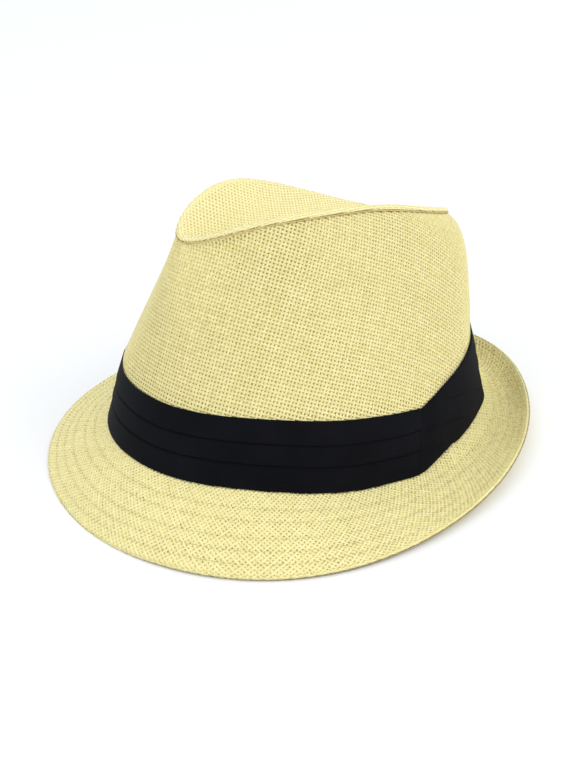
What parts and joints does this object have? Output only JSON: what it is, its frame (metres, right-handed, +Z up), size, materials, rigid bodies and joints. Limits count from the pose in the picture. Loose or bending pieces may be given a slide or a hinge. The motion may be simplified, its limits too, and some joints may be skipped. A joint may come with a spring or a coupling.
{
  "type": "straw trilby hat",
  "caption": "Short-brimmed woven straw trilby with a dented teardrop crown, a brim turned down in front and up behind, and a black pleated cloth band with a wrap on the wearer's left.",
  "frame": {"origin": "middle of the hat's outline in plan, on the surface the brim rests on", "axes": "+Z up from the surface, the hat's front is -Y, the wearer's left is +X"},
  "size_m": [0.2522, 0.2618, 0.1381],
  "materials": {
    "brim_straw": "plain-woven pale yellow paper straw, stitched in rows, matt with a slight sheen",
    "crown_straw": "plain-woven pale yellow paper straw, matt with a slight sheen",
    "tip_straw": "plain-woven pale yellow paper straw, matt with a slight sheen",
    "band_cloth": "black twill cloth, matt",
    "wrap_cloth": "black twill cloth, matt"
  },
  "bodies": {
    "root": {"brim": "brim_straw", "crown_side": "crown_straw", "crown_tip": "tip_straw", "hat_band": "band_cloth", "band_wrap": "wrap_cloth"}
  },
  "joints": []
}
